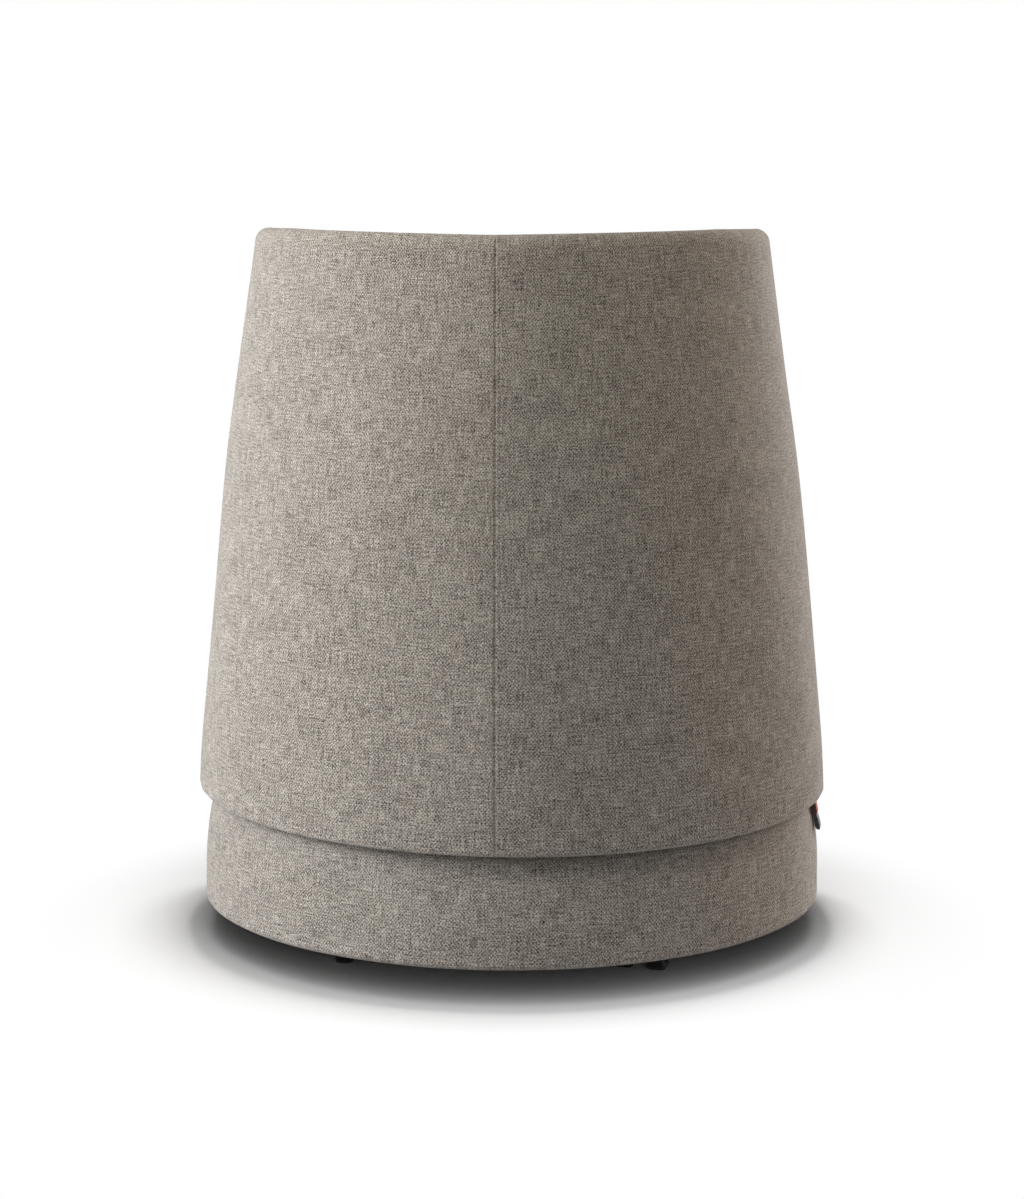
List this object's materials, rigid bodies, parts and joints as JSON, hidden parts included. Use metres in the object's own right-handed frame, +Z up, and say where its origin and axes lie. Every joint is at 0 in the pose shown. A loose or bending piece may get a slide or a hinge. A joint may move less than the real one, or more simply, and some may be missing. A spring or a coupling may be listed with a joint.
{
  "type": "rolling pouf",
  "caption": "Round upholstered pouf with a tapered drum, a crowned seat and a padded wrap-around back rest, rolling on twin-wheel swivel castors.",
  "frame": {"origin": "middle of the drum on the floor under the castors", "axes": "+Z up, -Y towards the front of the seat, +Y towards the back rest, +X to the sitter's left"},
  "size_m": [0.621, 0.616, 0.6955],
  "materials": {
    "grey_cloth": "coarse woven melange, warm grey",
    "foam": "open-cell foam",
    "plywood": "raw birch plywood",
    "zinc_steel": "zinc plated",
    "black_plastic": "moulded, fine grain",
    "red_ribbon": "woven ribbon",
    "black_leather": "smooth"
  },
  "bodies": {
    "pouf": {"base_board": "plywood", "drum_posts": "plywood", "seat_deck": "plywood", "drum_cover": "grey_cloth", "seat_foam": "foam", "seat_cover": "grey_cloth", "back_slats": "plywood", "back_panel_left": "grey_cloth", "back_panel_right": "grey_cloth", "back_inner_pad": "grey_cloth", "castor_plates": "zinc_steel", "pull_tab_ribbon": "red_ribbon", "pull_tab_tongue": "black_leather"},
    "rear_left_castor": {"rear_left_castor_bracket": "black_plastic"},
    "rear_left_castor_wheel_left": {"rear_left_castor_wheel_left": "black_plastic"},
    "rear_left_castor_wheel_right": {"rear_left_castor_wheel_right": "black_plastic"},
    "side_left_castor": {"side_left_castor_bracket": "black_plastic"},
    "side_left_castor_wheel_left": {"side_left_castor_wheel_left": "black_plastic"},
    "side_left_castor_wheel_right": {"side_left_castor_wheel_right": "black_plastic"},
    "front_castor": {"front_castor_bracket": "black_plastic"},
    "front_castor_wheel_left": {"front_castor_wheel_left": "black_plastic"},
    "front_castor_wheel_right": {"front_castor_wheel_right": "black_plastic"},
    "side_right_castor": {"side_right_castor_bracket": "black_plastic"},
    "side_right_castor_wheel_left": {"side_right_castor_wheel_left": "black_plastic"},
    "side_right_castor_wheel_right": {"side_right_castor_wheel_right": "black_plastic"},
    "rear_right_castor": {"rear_right_castor_bracket": "black_plastic"},
    "rear_right_castor_wheel_left": {"rear_right_castor_wheel_left": "black_plastic"},
    "rear_right_castor_wheel_right": {"rear_right_castor_wheel_right": "black_plastic"}
  },
  "joints": [
    {"name": "rear_left_castor_swivel", "type": "hinge", "parent": "pouf", "child": "rear_left_castor", "pos_m": [0.13166, 0.18122, 0.045], "axis": [0, 0, 1], "continuous": true},
    {"name": "rear_left_castor_wheel_left_spin", "type": "hinge", "parent": "rear_left_castor", "child": "rear_left_castor_wheel_left", "pos_m": [0.1486, 0.16837, 0.02], "axis": [0.9976, 0.0698, 0], "continuous": true},
    {"name": "rear_left_castor_wheel_right_spin", "type": "hinge", "parent": "rear_left_castor", "child": "rear_left_castor_wheel_right", "pos_m": [0.11668, 0.16614, 0.02], "axis": [0.9976, 0.0698, 0], "continuous": true},
    {"name": "side_left_castor_swivel", "type": "hinge", "parent": "pouf", "child": "side_left_castor", "pos_m": [0.21304, -0.06922, 0.045], "axis": [0, 0, 1], "continuous": true},
    {"name": "side_left_castor_wheel_left_spin", "type": "hinge", "parent": "side_left_castor", "child": "side_left_castor_wheel_left", "pos_m": [0.23103, -0.08054, 0.02], "axis": [0.9877, 0.1564, 0], "continuous": true},
    {"name": "side_left_castor_wheel_right_spin", "type": "hinge", "parent": "side_left_castor", "child": "side_left_castor_wheel_right", "pos_m": [0.19942, -0.08555, 0.02], "axis": [0.9877, 0.1564, 0], "continuous": true},
    {"name": "front_castor_swivel", "type": "hinge", "parent": "pouf", "child": "front_castor", "pos_m": [0, -0.224, 0.045], "axis": [0, 0, 1], "continuous": true},
    {"name": "front_castor_wheel_left_spin", "type": "hinge", "parent": "front_castor", "child": "front_castor_wheel_left", "pos_m": [0.01445, -0.2396, 0.02], "axis": [0.9945, -0.1045, 0], "continuous": true},
    {"name": "front_castor_wheel_right_spin", "type": "hinge", "parent": "front_castor", "child": "front_castor_wheel_right", "pos_m": [-0.01738, -0.23625, 0.02], "axis": [0.9945, -0.1045, 0], "continuous": true},
    {"name": "side_right_castor_swivel", "type": "hinge", "parent": "pouf", "child": "side_right_castor", "pos_m": [-0.21304, -0.06922, 0.045], "axis": [0, 0, 1], "continuous": true},
    {"name": "side_right_castor_wheel_left_spin", "type": "hinge", "parent": "side_right_castor", "child": "side_right_castor_wheel_left", "pos_m": [-0.19914, -0.08531, 0.02], "axis": [0.9903, -0.1392, 0], "continuous": true},
    {"name": "side_right_castor_wheel_right_spin", "type": "hinge", "parent": "side_right_castor", "child": "side_right_castor_wheel_right", "pos_m": [-0.23083, -0.08086, 0.02], "axis": [0.9903, -0.1392, 0], "continuous": true},
    {"name": "rear_right_castor_swivel", "type": "hinge", "parent": "pouf", "child": "rear_right_castor", "pos_m": [-0.13166, 0.18122, 0.045], "axis": [0, 0, 1], "continuous": true},
    {"name": "rear_right_castor_wheel_left_spin", "type": "hinge", "parent": "rear_right_castor", "child": "rear_right_castor_wheel_left", "pos_m": [-0.11922, 0.16398, 0.02], "axis": [0.9744, -0.225, 0], "continuous": true},
    {"name": "rear_right_castor_wheel_right_spin", "type": "hinge", "parent": "rear_right_castor", "child": "rear_right_castor_wheel_right", "pos_m": [-0.1504, 0.17118, 0.02], "axis": [0.9744, -0.225, 0], "continuous": true}
  ]
}
